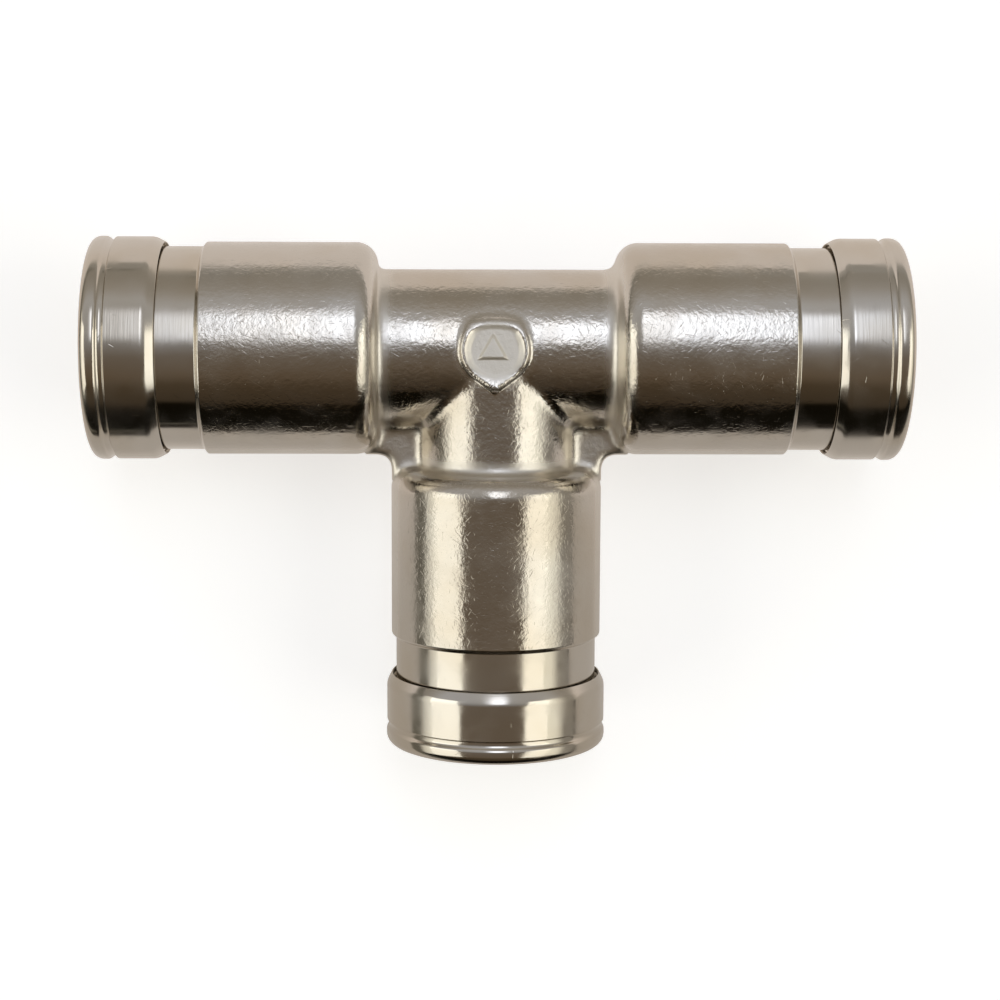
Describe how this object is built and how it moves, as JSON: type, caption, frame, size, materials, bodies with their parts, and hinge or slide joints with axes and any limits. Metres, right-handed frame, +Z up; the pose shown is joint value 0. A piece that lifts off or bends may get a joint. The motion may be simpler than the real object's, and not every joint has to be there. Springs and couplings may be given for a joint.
{
  "type": "push to connect fitting",
  "caption": "Equal tee push to connect fitting for air tube: a nickel plated brass body with a sliding release cap, collet and seal in every port.",
  "frame": {"origin": "on the bench that the fitting lies flat on, at the centre of its footprint; the run and branch axes cross 9.475 mm along +Y and 7.25 mm above it", "axes": "+X along the run, towards the right port; the branch port points along -Y; +Z is up, towards the marking boss"},
  "size_m": [0.0524, 0.0334, 0.0145],
  "materials": {
    "nickel_forged": "nickel plated forging, tumbled, bright with small dents",
    "nickel_turned": "nickel plated, fine turned, bright",
    "bare_brass": "turned brass, satin",
    "collet_brass": "nickel plated, turned and slotted",
    "spring_steel": "drawn spring wire",
    "acetal": "natural acetal, satin",
    "nitrile_rubber": "moulded nitrile rubber, matte"
  },
  "bodies": {
    "tee": {"tee_body": "nickel_forged", "tube_seal_left": "nitrile_rubber", "backup_ring_left": "acetal", "retainer_sleeve_left": "bare_brass", "tube_seal_right": "nitrile_rubber", "backup_ring_right": "acetal", "retainer_sleeve_right": "bare_brass", "tube_seal_branch": "nitrile_rubber", "backup_ring_branch": "acetal", "retainer_sleeve_branch": "bare_brass"},
    "collet_left": {"collet_left": "collet_brass", "snap_ring_left": "spring_steel"},
    "cap_left": {"release_cap_left": "nickel_turned"},
    "collet_right": {"collet_right": "collet_brass", "snap_ring_right": "spring_steel"},
    "cap_right": {"release_cap_right": "nickel_turned"},
    "collet_branch": {"collet_branch": "collet_brass", "snap_ring_branch": "spring_steel"},
    "cap_branch": {"release_cap_branch": "nickel_turned"}
  },
  "joints": [
    {"name": "release_left", "type": "slide", "parent": "tee", "child": "collet_left", "axis": [1, 0, 0], "range_m": [0, 0.0015]},
    {"name": "cap_turn_left", "type": "hinge", "parent": "collet_left", "child": "cap_left", "pos_m": [-0.0253, 0.00948, 0.00725], "axis": [-1, 0, 0], "continuous": true},
    {"name": "release_right", "type": "slide", "parent": "tee", "child": "collet_right", "axis": [-1, 0, 0], "range_m": [0, 0.0015]},
    {"name": "cap_turn_right", "type": "hinge", "parent": "collet_right", "child": "cap_right", "pos_m": [0.0253, 0.00948, 0.00725], "axis": [1, 0, 0], "continuous": true},
    {"name": "release_branch", "type": "slide", "parent": "tee", "child": "collet_branch", "axis": [0, 1, 0], "range_m": [0, 0.0015]},
    {"name": "cap_turn_branch", "type": "hinge", "parent": "collet_branch", "child": "cap_branch", "pos_m": [0, -0.01582, 0.00725], "axis": [0, -1, 0], "continuous": true}
  ]
}
